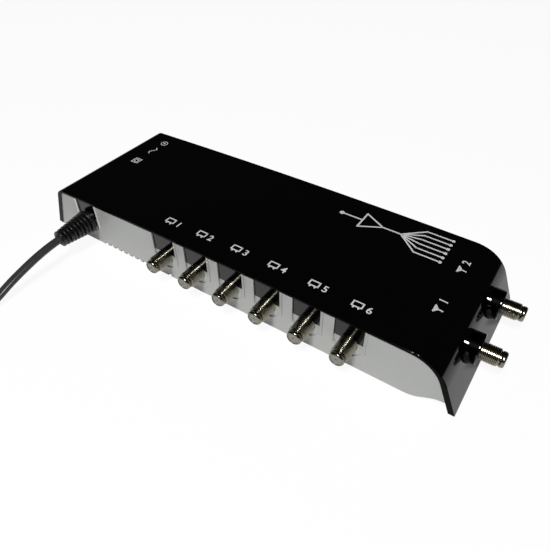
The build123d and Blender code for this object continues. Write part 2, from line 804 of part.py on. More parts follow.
def make_primary_leads():
    """Two wires from the terminal block, over the core's corner, to the primary chamber's flange."""
    wires = []
    level = floor_top + 5
    above_core = core_middle + core_stack / 2 + 2.3
    for side in (-1, 1):
        pole = terminal_x + side * 4.2
        lane = core_y + 18.0 + 2 * side
        end_x = core_x - 2.5 + 3.5 * side
        wires.append(wire([
            (pole, terminal_y + 4, level),
            (pole, terminal_y + 11, level),
            (pole + 2, terminal_y + 20, level + 6),
            (pole + 8, lane - 4, level + 12),
            (core_x - 21, lane, above_core - 0.6),
            (end_x - 8, lane, above_core),
            (end_x, lane - 5, above_core),
            (end_x, core_y + 10.4, above_core),
        ]))
    return Compound(wires)


def make_secondary_leads():
    """Two low-voltage wires from the second chamber's flange to the board."""
    wires = []
    above_core = core_middle + core_stack / 2 + 2.3
    for side in (-1, 1):
        lane = core_y - 20.0 + 2 * side
        start_x = core_x + 2.5 + 3.5 * side
        wires.append(wire([
            (start_x, core_y - 10.4, above_core),
            (start_x, core_y - 15.0, above_core),
            (start_x + 8, lane, above_core),
            (core_x + 23, lane + 0.3, above_core - 1.4),
            (core_x + 32, lane, board_top + 3.5),
            (core_x + 41, lane - 0.3, board_top + 0.9),
            (core_x + 46, lane - 0.3, board_top + 0.9),
        ]))
    return Compound(wires)


def save(name, shape):
    """Write one piece to its own file."""
    export_step(shape, f"parts/{name}.step")


os.makedirs("parts", exist_ok=True)
save("top_cover", make_top_cover())
save("base_tray", make_base_tray())
for number, socket_x in enumerate(output_xs, 1):
    save(f"output_socket_shell_{number}", place_output(socket_shell(barrel_length), socket_x))
    save(f"output_socket_insulator_{number}", place_output(socket_insulator(barrel_length), socket_x))
for number, socket_y in enumerate(input_ys, 1):
    save(f"input_socket_shell_{number}", place_input(socket_shell(input_barrel_length), socket_y))
    save(f"input_socket_insulator_{number}", place_input(socket_insulator(input_barrel_length), socket_y))
contacts = [place_output(socket_contact(barrel_length), socket_x) for socket_x in output_xs]
contacts += [place_input(socket_contact(input_barrel_length), socket_y) for socket_y in input_ys]
save("socket_contacts", Compound(contacts))
save("circuit_board", make_circuit_board())
save("screening_can", make_screening_can())
save("screening_lid", make_screening_lid())
save("splitter_ferrites", make_splitter_ferrites())
save("amplifier_transistors", make_amplifier_transistors())
save("chip_parts", make_chip_parts())
save("transformer_core", make_transformer_core())
save("transformer_bobbin", make_transformer_bobbin())
save("primary_winding", winding(core_y + 0.5, core_y + 9.4, primary_swell))
save("secondary_winding", winding(core_y - 9.4, core_y - 0.5, secondary_swell))
save("transformer_strap", make_transformer_strap())
save("thermal_fuse", make_thermal_fuse())
save("smoothing_capacitors", make_smoothing_capacitors())
save("bridge_rectifier", make_bridge_rectifier())
save("voltage_regulator", make_voltage_regulator())
save("heat_sink", make_heat_sink())
save("terminal_block", make_terminal_block())
save("terminal_screws", make_terminal_screws())
save("mains_core_live", make_mains_cores(-1))
save("mains_core_neutral", make_mains_cores(1))
save("primary_leads", make_primary_leads())
save("secondary_leads", make_secondary_leads())
save("cord_clamp", make_cord_clamp())
clamp_top = axis_height + lead_thickness / 2 + 3
save("cord_clamp_screws", Compound([
    screw(lead_x + side * 6, front + 9.5, clamp_top, clamp_top + 1.6, 2.0, 6.0, 1.0) for side in (-1, 1)
]))
save("cover_screws", Compound([screw(x, y, 2.2, 3.8, 2.6, 14.0, 1.25) for x, y in screw_places]))
save("board_screws", Compound([
    screw(x, y, board_top, board_top + 1.5, 2.3, 4.0, 1.1) for x, y in post_places
]))
save("transformer_screws", Compound([
    screw(core_x + side * lug_reach, core_y, 8.1, 9.6, 2.1, 4.0, 1.1) for side in (-1, 1)
]))
save("rubber_feet", Compound([rod((x, y, 0), (x, y, tray_bottom + 0.5), 5.0) for x, y in foot_places]))
save("strain_relief_boot", make_strain_relief_boot())
save("mains_lead", make_mains_lead())
save("mains_lead_coil", make_mains_lead_coil())
save("mains_lead_tail", make_mains_lead_tail())
save("plug_body", make_plug_body())
save("plug_pins", make_plug_pins())
save("plug_fuse", make_plug_fuse())
save("plug_fuse_carrier", plug_carrier_box())
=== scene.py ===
import math

import bmesh
import bpy
from mathutils import Euler, Matrix, Vector


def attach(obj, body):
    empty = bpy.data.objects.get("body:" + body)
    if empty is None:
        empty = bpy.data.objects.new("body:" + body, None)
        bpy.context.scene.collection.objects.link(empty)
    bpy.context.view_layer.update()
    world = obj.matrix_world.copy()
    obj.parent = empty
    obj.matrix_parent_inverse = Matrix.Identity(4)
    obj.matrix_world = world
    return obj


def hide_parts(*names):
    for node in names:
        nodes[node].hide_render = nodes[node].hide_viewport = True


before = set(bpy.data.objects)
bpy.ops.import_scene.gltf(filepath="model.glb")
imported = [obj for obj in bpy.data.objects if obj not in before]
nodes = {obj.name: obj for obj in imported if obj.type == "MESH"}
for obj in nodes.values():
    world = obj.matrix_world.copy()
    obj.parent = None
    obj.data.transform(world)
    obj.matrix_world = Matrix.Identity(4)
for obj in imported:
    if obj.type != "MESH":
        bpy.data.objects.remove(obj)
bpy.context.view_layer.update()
mm = 0.001

# The studio: a white sheet for a floor, one small soft box above and in front, and a dark room that
# the gloss mirrors and the camera sees as a pale wall. The camera stands in front and to the right.
camera = bpy.data.objects.new("camera", bpy.data.cameras.new("camera"))
camera.location = (0.139755, -0.194772, 0.213942)
camera.rotation_euler = Euler([math.radians(angle) for angle in (47.288, 0.57, 33.83)])
camera.data.lens = 33.725
camera.data.sensor_width = 36
camera.data.clip_start = 0.01
bpy.context.scene.collection.objects.link(camera)
bpy.context.scene.camera = camera
bpy.context.scene.view_settings.view_transform = "Standard"

key_lamp = bpy.data.objects.new("key_lamp", bpy.data.lights.new("key_lamp", "AREA"))
key_lamp.data.size = 0.22
key_lamp.data.energy = 11.0
key_lamp.location = (0.12, -0.62, 1.0)
key_lamp.rotation_euler = (-key_lamp.location).to_track_quat("-Z", "Y").to_euler()
bpy.context.scene.collection.objects.link(key_lamp)

room_seen_by_gloss = (0.012, 0.012, 0.0125, 1)
room_seen_by_camera = (0.95, 0.95, 0.95, 1)
room = bpy.data.worlds.new("dark_room")
room.use_nodes = True
tree = room.node_tree
rays = tree.nodes.new("ShaderNodeLightPath")
shade = tree.nodes.new("ShaderNodeMix")
shade.data_type = "RGBA"
shade.inputs[6].default_value = room_seen_by_gloss
shade.inputs[7].default_value = room_seen_by_camera
tree.links.new(rays.outputs["Is Camera Ray"], shade.inputs[0])
tree.links.new(shade.outputs[2], tree.nodes["Background"].inputs["Color"])
bpy.context.scene.world = room

sheet = bmesh.new()
bmesh.ops.create_grid(sheet, x_segments=1, y_segments=1, size=3.0)
floor_mesh = bpy.data.meshes.new("floor")
sheet.to_mesh(floor_mesh)
sheet.free()
floor = bpy.data.objects.new("floor", floor_mesh)
bpy.context.scene.collection.objects.link(floor)
paper = bpy.data.materials.new("white_paper")
paper.use_nodes = True
tree = paper.node_tree
tree.nodes.clear()
surface = tree.nodes.new("ShaderNodeOutputMaterial")
matt = tree.nodes.new("ShaderNodeBsdfDiffuse")
matt.inputs["Color"].default_value = (0.86, 0.86, 0.86, 1)
glow = tree.nodes.new("ShaderNodeEmission")
glow.inputs["Strength"].default_value = 1.03
glow_share_seen = 0.9
glow_share_mirrored = 0.4
rays = tree.nodes.new("ShaderNodeLightPath")
mirrored = tree.nodes.new("ShaderNodeMath")
mirrored.operation = "MULTIPLY"
mirrored.inputs[1].default_value = glow_share_mirrored
tree.links.new(rays.outputs["Is Glossy Ray"], mirrored.inputs[0])
share = tree.nodes.new("ShaderNodeMath")
share.operation = "MULTIPLY_ADD"
share.use_clamp = True
share.inputs[1].default_value = glow_share_seen
tree.links.new(rays.outputs["Is Camera Ray"], share.inputs[0])
tree.links.new(mirrored.outputs[0], share.inputs[2])
blend = tree.nodes.new("ShaderNodeMixShader")
tree.links.new(share.outputs[0], blend.inputs["Fac"])
tree.links.new(matt.outputs[0], blend.inputs[1])
tree.links.new(glow.outputs[0], blend.inputs[2])
tree.links.new(blend.outputs[0], surface.inputs["Surface"])
floor.data.materials.append(paper)

# Mains lead: flat two-core flex in black PVC, clamped inside, out through the boot and down to the
# ground. The length put away is wound flat in two layers, and ends in the plug beyond the coil.
left = -144.75 * mm
right = left + 279 * mm
front = -40.5 * mm
axis_height = 16.5 * mm
lead_x = left + 35 * mm
lead_width = 5.6 * mm
lead_thickness = 3.4 * mm
ground_level = lead_thickness / 2 + 0.1 * mm
coil_radius = 41 * mm
coil_step = 3.1 * mm
coil_layer = 4 * mm
lower_half_turns = 7
upper_half_turns = 6
points_per_half_turn = 8


def half_turn(start, radius, side, rise):
    """Control points round half a turn, clockwise from above; side says where its centre lies."""
    centre = Vector((start[0] + side * radius, start[1], start[2]))
    step = math.pi / points_per_half_turn
    spots = []
    for n in range(points_per_half_turn):
        angle = (n + 0.5) * step
        reach = radius / math.cos(step / 2)
        out = Vector((-side * math.cos(angle), side * math.sin(angle), 0))
        spots.append(centre + reach * out + Vector((0, 0, rise * (n + 0.5) / points_per_half_turn)))
    return spots, centre + Vector((side * radius, 0, rise))


route = [
    Vector((lead_x, front + 11 * mm, axis_height)),
    Vector((lead_x, front - 9 * mm, axis_height)),
    Vector((lead_x - 0.15 * mm, front - 33 * mm, axis_height - 0.1 * mm)),
    Vector((lead_x - 1.0 * mm, front - 58 * mm, axis_height - 6.6 * mm)),
    Vector((lead_x - 1.4 * mm, front - 74 * mm, ground_level + 1.6 * mm)),
    Vector((lead_x - 1.8 * mm, front - 85.5 * mm, ground_level)),
    Vector((lead_x - 1.8 * mm, front - 96.5 * mm, ground_level)),
]
here = route[-1] - Vector((0, lead_width, 0))
turn_radius = coil_radius
for turn in range(lower_half_turns):
    spots, here = half_turn(here, turn_radius, -1 if turn % 2 == 0 else 1, 0)
    route += spots
    turn_radius -= coil_step
spots, here = half_turn(here, turn_radius, 1, coil_layer)
route += spots
for turn in range(upper_half_turns):
    turn_radius += coil_step
    spots, here = half_turn(here, turn_radius, -1 if turn % 2 == 0 else 1, 0)
    route += spots
coil_end = here - Vector((0, lead_width, 0))
plug_x = coil_end[0] - 0.6 * mm
plug_neck_y = coil_end[1] - 41 * mm
route += [
    coil_end,
    coil_end - Vector((0, 13 * mm, 0)),
    Vector((plug_x, plug_neck_y + 13.5 * mm, 10 * mm)),
    Vector((plug_x, plug_neck_y, 10 * mm)),
]
line = bpy.data.curves.new("lead_line", "CURVE")
line.dimensions = "3D"
line.resolution_u = 6
spline = line.splines.new("NURBS")
spline.points.add(len(route) - 1)
for point, spot in zip(spline.points, route):
    point.co = (*spot, 1)
spline.order_u = 3
spline.use_endpoint_u = True
line_object = bpy.data.objects.new("lead_line", line)
bpy.context.scene.collection.objects.link(line_object)
lead_path = [vertex.co.copy() for vertex in bpy.data.meshes.new_from_object(line_object).vertices]

section = bpy.data.curves.new("lead_section", "CURVE")
section.dimensions = "2D"
lobe = section.splines.new("POLY")
lobe_radius = lead_thickness / 2
lobe_offset = (lead_width - lead_thickness) / 2
lobe_end_angle = 100
points_per_lobe = 9
section_spots = []
for side in (1, -1):
    for n in range(points_per_lobe):
        angle = math.radians(lobe_end_angle * (2 * n / (points_per_lobe - 1) - 1))
        section_spots.append((side * (lobe_offset + lobe_radius * math.cos(angle)),
                              side * lobe_radius * math.sin(angle)))
lobe.points.add(len(section_spots) - 1)
for point, (x, y) in zip(lobe.points, section_spots):
    point.co = (x, y, 0, 1)
lobe.use_cyclic_u = True
section_object = bpy.data.objects.new("lead_section", section)
bpy.context.scene.collection.objects.link(section_object)
line.bevel_mode = "OBJECT"
line.bevel_object = section_object
line.twist_mode = "Z_UP"
line.use_fill_caps = True
bpy.context.view_layer.update()
tube = bpy.data.meshes.new_from_object(line_object.evaluated_get(bpy.context.evaluated_depsgraph_get()))
bpy.data.objects.remove(line_object)
bpy.data.objects.remove(section_object)


def finish_piece(name, shape, smooth_angle=35.0):
    """Mesh object from a bmesh or a mesh, at the origin, with its edges sharp above an angle."""
    if isinstance(shape, bmesh.types.BMesh):
        mesh = bpy.data.meshes.new(name)
        shape.to_mesh(mesh)
        shape.free()
    else:
        mesh = shape
        mesh.name = name
    mesh.materials.clear()
    mesh.shade_smooth()
    mesh.set_sharp_from_angle(angle=math.radians(smooth_angle))
    piece = bpy.data.objects.new(name, mesh)
    bpy.context.scene.collection.objects.link(piece)
    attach(piece, "root")
    return piece


# The surface of every moulding, casting and coating here: a soft change of shade and of polish,
# and a fine relief, in the piece's own space.
grain = bpy.data.node_groups.new("surface_grain", "ShaderNodeTree")
for side, labels in (("INPUT", ("Colour", "Shade", "Roughness", "Polish", "Scale")),
                     ("OUTPUT", ("Colour", "Roughness", "Relief"))):
    for label in labels:
        kind = "NodeSocketColor" if label == "Colour" else "NodeSocketFloat"
        grain.interface.new_socket(label, in_out=side, socket_type=kind)
given = grain.nodes.new("NodeGroupInput")
result = grain.nodes.new("NodeGroupOutput")
space = grain.nodes.new("ShaderNodeTexCoord")
clouds = grain.nodes.new("ShaderNodeTexNoise")
clouds.inputs["Detail"].default_value = 4
grains = grain.nodes.new("ShaderNodeTexNoise")
grains.inputs["Detail"].default_value = 2
finer = grain.nodes.new("ShaderNodeMath")
finer.operation = "MULTIPLY"
finer.inputs[1].default_value = 7.0
centred = grain.nodes.new("ShaderNodeMath")
centred.operation = "SUBTRACT"
centred.inputs[1].default_value = 0.5
shade_change = grain.nodes.new("ShaderNodeMath")
shade_change.operation = "MULTIPLY_ADD"
shade_change.inputs[2].default_value = 1.0
polish_change = grain.nodes.new("ShaderNodeMath")
polish_change.operation = "MULTIPLY_ADD"
tinted = grain.nodes.new("ShaderNodeVectorMath")
tinted.operation = "SCALE"
grain.links.new(given.outputs["Scale"], finer.inputs[0])
grain.links.new(given.outputs["Scale"], clouds.inputs["Scale"])
grain.links.new(finer.outputs[0], grains.inputs["Scale"])
for pattern in (clouds, grains):
    grain.links.new(space.outputs["Object"], pattern.inputs["Vector"])
grain.links.new(clouds.outputs["Fac"], centred.inputs[0])
grain.links.new(centred.outputs[0], shade_change.inputs[0])
grain.links.new(given.outputs["Shade"], shade_change.inputs[1])
grain.links.new(centred.outputs[0], polish_change.inputs[0])
grain.links.new(given.outputs["Polish"], polish_change.inputs[1])
grain.links.new(given.outputs["Roughness"], polish_change.inputs[2])
grain.links.new(given.outputs["Colour"], tinted.inputs[0])
grain.links.new(shade_change.outputs[0], tinted.inputs["Scale"])
grain.links.new(tinted.outputs[0], result.inputs["Colour"])
grain.links.new(polish_change.outputs[0], result.inputs["Roughness"])
grain.links.new(grains.outputs["Fac"], result.inputs["Relief"])


def grained(name, colour, roughness, metallic=0.0, shade=0.3, polish=0.1, scale=300.0, relief=0.00002):
    """Material with the surface grain, its own colour and its own finish."""
    material = bpy.data.materials.new(name)
    material.use_nodes = True
    tree = material.node_tree
    shader = tree.nodes["Principled BSDF"]
    shader.inputs["Metallic"].default_value = metallic
    group = tree.nodes.new("ShaderNodeGroup")
    group.node_tree = grain
    group.inputs["Colour"].default_value = (*colour, 1)
    group.inputs["Shade"].default_value = shade
    group.inputs["Roughness"].default_value = roughness
    group.inputs["Polish"].default_value = polish
    group.inputs["Scale"].default_value = scale
    bump = tree.nodes.new("ShaderNodeBump")
    bump.inputs["Distance"].default_value = relief
    tree.links.new(group.outputs["Colour"], shader.inputs["Base Color"])
    tree.links.new(group.outputs["Roughness"], shader.inputs["Roughness"])
    tree.links.new(group.outputs["Relief"], bump.inputs["Height"])
    tree.links.new(bump.outputs["Normal"], shader.inputs["Normal"])
    return material


def dress(node, material):
    """Give a carried-over CAD node its material."""
    piece = nodes[node]
    if not piece.material_slots:
        piece.data.materials.append(material)
    for place in piece.material_slots:
        place.material = material


lead = finish_piece("flat_mains_lead", tube, 60.0)
flex = grained("black_flex", (0.045, 0.045, 0.046), 0.25, shade=0.5, polish=0.12, scale=260.0, relief=0.00004)
lead.data.materials.append(flex)
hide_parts("mains_lead", "mains_lead_coil", "mains_lead_tail")

# Plug: a moulded three-pin plug with a finger grip round its back, brass pins, and a fuse under a
# carrier in the pin face. It lies on its back beyond the coil.
dress("plug_body", grained("plug_moulding", (0.014, 0.014, 0.015), 0.38, scale=220.0, relief=0.00003))
dress("plug_fuse_carrier", grained("carrier_moulding", (0.16, 0.01, 0.008), 0.35, scale=260.0))
brass = grained("brass_pin", (0.62, 0.44, 0.17), 0.28, 1.0, 0.25, 0.15, 500.0, 0.00001)
dress("plug_pins", brass)
dress("plug_fuse", grained("fuse_ceramic", (0.68, 0.64, 0.56), 0.4, scale=400.0))

# Strain relief boot: one black rubber moulding, a rim before the wall and eight rings that shrink
# towards the tip. Spines join the rings and leave windows between, so that it bends evenly. A collar
# behind the wall holds it.
boot_face = front - 0.8 * mm
boot_length = 22.4 * mm
boot_root = 5.9 * mm
collar_from = -5.8 * mm
collar_to = -4.2 * mm
collar_radius = 7.4 * mm
rim_radius = 7.7 * mm
rim_thickness = 2.4 * mm
first_ring_radius = 7.2 * mm
tip_radius = 5.2 * mm
ring_count = 8
ring_pitch = (boot_length - rim_thickness) / ring_count
ring_thickness = 0.5 * ring_pitch
ring_round_off = 0.35 * mm
rim_round_off = 0.7 * mm
neck_radius = 3.9 * mm
neck_length = 0.8 * mm
neck_round_off = 0.5 * mm
spine_width = 2.6 * mm
spine_inset = 0.45 * mm
spine_bevel = 0.2 * mm
overlap = 0.1 * mm
lead_clearance = 2.9 * mm
boot_frame = Matrix.Translation((lead_x, boot_face, axis_height)) @ Matrix.Rotation(math.pi, 4, "Z")


def lathe(shape, profile, steps=64):
    """Closed profile of (distance along +Y, radius), carried once round the Y axis."""
    ring = [shape.verts.new((radius, along, 0)) for along, radius in profile]
    edges = [shape.edges.new((a, b)) for a, b in zip(ring, ring[1:] + ring[:1])]
    bmesh.ops.spin(shape, geom=ring + edges, cent=(0, 0, 0), axis=(0, 1, 0), angle=2 * math.pi,
                   steps=steps, use_merge=True, use_duplicate=False)


def ring_profile(start, thickness, radius, bore, round_off):
    """Section of a ring with rounded outer corners."""
    angles = [math.pi / 2 * n / 4 for n in range(5)]
    near = start + round_off
    far = start + thickness - round_off
    shoulder = radius - round_off
    rising = [(near - round_off * math.cos(a), shoulder + round_off * math.sin(a)) for a in angles]
    falling = [(far + round_off * math.sin(a), shoulder + round_off * math.cos(a)) for a in angles]
    return [(start, bore)] + rising + falling + [(start + thickness, bore)]


def block(shape, low, high, bevel):
    """Box between two corners with softened edges."""
    made = bmesh.ops.create_cube(shape, size=1)["verts"]
    low, high = Vector(low), Vector(high)
    size = Matrix.Diagonal((*(high - low), 1))
    bmesh.ops.transform(shape, matrix=Matrix.Translation((low + high) / 2) @ size, verts=made)
    edges = list({edge for vertex in made for edge in vertex.link_edges})
    bmesh.ops.bevel(shape, geom=edges, offset=bevel, segments=2, profile=0.5, affect="EDGES",
                    material=-1)


boot = bmesh.new()
lathe(boot, ring_profile(0, rim_thickness, rim_radius, lead_clearance, rim_round_off))
for n in range(ring_count):
    radius = first_ring_radius + (tip_radius - first_ring_radius) * n / (ring_count - 1)
    start = rim_thickness + ring_pitch * n
    ring_start = start + ring_pitch - ring_thickness
    lathe(boot, ring_profile(ring_start, ring_thickness, radius, lead_clearance, ring_round_off))
    reach = radius - spine_inset
    half = spine_width / 2
    beside = (-reach, reach) if n % 2 else (-half, half)
    below = -half if n % 2 else -reach
    spine_from = start - overlap
    spine_to = spine_from + ring_pitch
    block(boot, (beside[0], spine_from, below), (beside[1], spine_to, half), spine_bevel)
    block(boot, (-half, spine_from, 0), (half, spine_to, reach), spine_bevel)
neck_start = boot_length - 2 * overlap
lathe(boot, ring_profile(neck_start, neck_length, neck_radius, lead_clearance, neck_round_off))
lathe(boot, [(collar_from, lead_clearance), (collar_from, collar_radius), (collar_to, collar_radius),
             (collar_to, boot_root), (overlap, boot_root), (overlap, lead_clearance)])
bmesh.ops.remove_doubles(boot, verts=boot.verts, dist=0.002 * mm)
bmesh.ops.recalc_face_normals(boot, faces=boot.faces)
boot.transform(boot_frame)
boot_piece = finish_piece("rubber_boot", boot)
rubber = grained("boot_rubber", (0.008, 0.008, 0.0085), 0.3, shade=0.5, polish=0.15, scale=350.0,
                 relief=0.00005)
boot_piece.data.materials.append(rubber)
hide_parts("strain_relief_boot")

# Top cover: top, leaning ends, collars and teeth are one glossy black moulding with a faint orange
# peel, screwed down from below. The sides of the two collars and the narrow front face mirror
# hardly anything, and only their edges shine.
cover_gloss = grained("gloss_black", (0.001, 0.001, 0.0012), 0.075, shade=0.4, polish=0.05, scale=90.0,
                      relief=0.000004)
end_run = 12.5 * mm
end_rise = 29.0 * mm
end_lean = math.atan(end_run / end_rise)
end_normal = Vector((math.cos(end_lean), 0, math.sin(end_lean)))
end_foot = Vector((right, 0, 2.2 * mm))
gloss_root = 1.3 * mm
gloss_rim_x = right - 2.5 * mm
front_face_y = front + 0.1 * mm
dull_roughness = 0.3
tree = cover_gloss.node_tree
space = tree.nodes.new("ShaderNodeTexCoord")
out_of_end = tree.nodes.new("ShaderNodeVectorMath")
out_of_end.operation = "DOT_PRODUCT"
out_of_end.inputs[1].default_value = end_normal
on_collar = tree.nodes.new("ShaderNodeMath")
on_collar.operation = "GREATER_THAN"
on_collar.inputs[1].default_value = end_foot.dot(end_normal) + gloss_root
along = tree.nodes.new("ShaderNodeSeparateXYZ")
before_rim = tree.nodes.new("ShaderNodeMath")
before_rim.operation = "LESS_THAN"
before_rim.inputs[1].default_value = gloss_rim_x
front_face = tree.nodes.new("ShaderNodeMath")
front_face.operation = "LESS_THAN"
front_face.inputs[1].default_value = front_face_y
dull_side = tree.nodes.new("ShaderNodeMath")
dull_side.operation = "MULTIPLY_ADD"
dull_side.use_clamp = True
rougher = tree.nodes.new("ShaderNodeMath")
rougher.operation = "MULTIPLY_ADD"
rougher.inputs[1].default_value = dull_roughness
tree.links.new(space.outputs["Object"], out_of_end.inputs[0])
tree.links.new(out_of_end.outputs["Value"], on_collar.inputs[0])
tree.links.new(space.outputs["Object"], along.inputs[0])
tree.links.new(along.outputs["X"], before_rim.inputs[0])
tree.links.new(on_collar.outputs[0], dull_side.inputs[0])
tree.links.new(before_rim.outputs[0], dull_side.inputs[1])
tree.links.new(along.outputs["Y"], front_face.inputs[0])
tree.links.new(front_face.outputs[0], dull_side.inputs[2])
tree.links.new(dull_side.outputs[0], rougher.inputs[0])
tree.links.new(tree.nodes["Group"].outputs["Roughness"], rougher.inputs[2])
tree.links.new(rougher.outputs[0], tree.nodes["Principled BSDF"].inputs["Roughness"])
tree.links.new(dull_side.outputs[0], tree.nodes["Principled BSDF"].inputs["Metallic"])
dress("top_cover", cover_gloss)

# Base tray: floor and two walls in one moulding, silver-grey with a fine metallic grain in its
# paint. The faces of the thin ribs beside the lead's opening carry a painted highlight in near-white.
tray_paint = grained("silver_paint", (0.49, 0.5, 0.485), 0.42, metallic=0.2, shade=0.12, polish=0.15,
                     scale=900.0, relief=0.00001)
# Painted highlight: the rib faces left of the lead's opening are coloured near-white in place of the silver
# paint, standing in for the light they catch.
rib_painted_highlight = (0.92, 0.92, 0.9, 1)
rib_face_y = front + 0.4 * mm
beside_lead_x = left + 60 * mm
tree = tray_paint.node_tree
space = tree.nodes.new("ShaderNodeTexCoord")
along = tree.nodes.new("ShaderNodeSeparateXYZ")
on_rib = tree.nodes.new("ShaderNodeMath")
on_rib.operation = "LESS_THAN"
on_rib.inputs[1].default_value = rib_face_y
by_lead = tree.nodes.new("ShaderNodeMath")
by_lead.operation = "LESS_THAN"
by_lead.inputs[1].default_value = beside_lead_x
painted_highlight_mask = tree.nodes.new("ShaderNodeMath")
painted_highlight_mask.operation = "MULTIPLY"
tint = tree.nodes.new("ShaderNodeMix")
tint.data_type = "RGBA"
tint.inputs[7].default_value = rib_painted_highlight
tree.links.new(space.outputs["Object"], along.inputs[0])
tree.links.new(along.outputs["Y"], on_rib.inputs[0])
tree.links.new(along.outputs["X"], by_lead.inputs[0])
tree.links.new(on_rib.outputs[0], painted_highlight_mask.inputs[0])
tree.links.new(by_lead.outputs[0], painted_highlight_mask.inputs[1])
tree.links.new(painted_highlight_mask.outputs[0], tint.inputs[0])
tree.links.new(tree.nodes["Group"].outputs["Colour"], tint.inputs[6])
tree.links.new(tint.outputs[2], tree.nodes["Principled BSDF"].inputs["Base Color"])
dress("base_tray", tray_paint)

# F sockets: zinc castings plated with dark nickel. The barrel has the 3/8-32 thread, a relief
# groove and a rounded nose; the block behind it stands on the circuit board on four pins.
nickel = grained("dark_nickel", (0.28, 0.264, 0.205), 0.2, metallic=1.0, shade=0.3, polish=0.1, scale=500.0,
                 relief=0.000001)
thread_radius = 4.7625 * mm
thread_root = 4.42 * mm
thread_pitch = 25.4 / 32 * mm
groove_radius = 3.9 * mm
nose_radius = 4.2 * mm
nose_length = 3.2 * mm
nose_round = 1.2 * mm
groove_length = 0.6 * mm
groove_chamfer = 0.15 * mm
bore_radius = 3.32 * mm
cut_back = 0.2 * mm
barrel_foot = 0.1 * mm
steps_per_turn = 40


def socket_shell(name, node, place, turn, length):
    """The block from the CAD socket with a new barrel: bore, nose, groove and cut thread."""
    frame_of_socket = Matrix.Translation(place) @ Matrix.Rotation(turn, 4, "Z")
    shape = bmesh.new()
    shape.from_mesh(nodes[node].data)
    shape.transform(frame_of_socket.inverted())
    bmesh.ops.remove_doubles(shape, verts=shape.verts, dist=0.001 * mm)
    cut = bmesh.ops.bisect_plane(shape, geom=shape.verts[:] + shape.edges[:] + shape.faces[:],
                                 plane_co=(0, -cut_back, 0), plane_no=(0, 1, 0), clear_inner=True)
    rims = [edge for edge in cut["geom_cut"] if isinstance(edge, bmesh.types.BMEdge)]
    bmesh.ops.bridge_loops(shape, edges=rims)
    barrel = bmesh.new()
    nose_start = length - nose_length
    shoulder = nose_radius - nose_round
    first_angle = math.asin((bore_radius - shoulder) / nose_round)
    profile = [(barrel_foot, bore_radius)]
    for n in range(7):
        angle = first_angle + (math.pi / 2 - first_angle) * n / 6
        along = length - nose_round + nose_round * math.cos(angle)
        profile.append((along, shoulder + nose_round * math.sin(angle)))
    groove_end = nose_start + groove_length
    profile += [(groove_end + groove_chamfer, nose_radius), (groove_end, groove_radius)]
    profile += [(nose_start, groove_radius), (nose_start, thread_root)]
    profile += [(nose_start - cut_back, thread_root), (barrel_foot, thread_root)]
    lathe(barrel, profile)
    turns = int((nose_start - cut_back) / thread_pitch) - 1
    first = nose_start - (turns + 1) * thread_pitch
    foot = thread_root - 0.01 * mm
    crest_edge = thread_radius - 0.04 * mm
    ridge = [(0, foot), (0.22, crest_edge), (0.3, thread_radius), (0.7, thread_radius),
             (0.78, crest_edge), (1, foot)]
    chain = [barrel.verts.new((radius, first + along * thread_pitch, 0)) for along, radius in ridge]
    barrel.faces.new(chain)
    flanks = [edge for edge in barrel.edges if edge.verts[0] in chain and edge.verts[1] in chain
              and abs(chain.index(edge.verts[0]) - chain.index(edge.verts[1])) == 1]
    bmesh.ops.spin(barrel, geom=chain + flanks, cent=(0, 0, 0), axis=(0, 1, 0), angle=2 * math.pi * turns,
                   steps=steps_per_turn * turns, dvec=(0, thread_pitch / steps_per_turn, 0),
                   use_duplicate=False)
    bmesh.ops.remove_doubles(barrel, verts=barrel.verts, dist=0.002 * mm)
    bmesh.ops.recalc_face_normals(barrel, faces=barrel.faces)
    barrel.transform(Matrix.Rotation(math.pi, 4, "Z"))
    joined = bpy.data.meshes.new("barrel")
    barrel.to_mesh(joined)
    barrel.free()
    shape.from_mesh(joined)
    bpy.data.meshes.remove(joined)
    shape.transform(frame_of_socket)
    piece = finish_piece(name, shape, 30.0)
    piece.data.materials.append(nickel)
    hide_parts(node)


output_count = 6
output_length = 16 * mm
output_reach = 12 * mm
output_pitch = 24.15 * mm
output_block_y = front - output_reach + output_length
output_xs = [left + 100.8 * mm + output_pitch * n for n in range(output_count)]
input_length = 23.5 * mm
input_reach = 10.5 * mm
input_pitch = 35.5 * mm
input_block_x = right + input_reach - input_length
input_ys = [front + 50.25 * mm + side * input_pitch / 2 for side in (-1, 1)]
for number, x in enumerate(output_xs, 1):
    place = (x, output_block_y, axis_height)
    socket_shell(f"output_socket_{number}", f"output_socket_shell_{number}", place, 0, output_length)
for number, y in enumerate(input_ys, 1):
    place = (input_block_x, y, axis_height)
    socket_shell(f"input_socket_{number}", f"input_socket_shell_{number}", place, math.pi / 2, input_length)
grey_plastic = grained("grey_insulator", (0.27, 0.27, 0.235), 0.35, shade=0.1, scale=500.0)
for number in range(1, len(output_xs) + 1):
    dress(f"output_socket_insulator_{number}", grey_plastic)
for number in range(1, len(input_ys) + 1):
    dress(f"input_socket_insulator_{number}", grey_plastic)
dress("socket_contacts", grained("gold_contact", (0.75, 0.55, 0.2), 0.22, 1.0, 0.2, 0.1, 700.0, 0.00001))

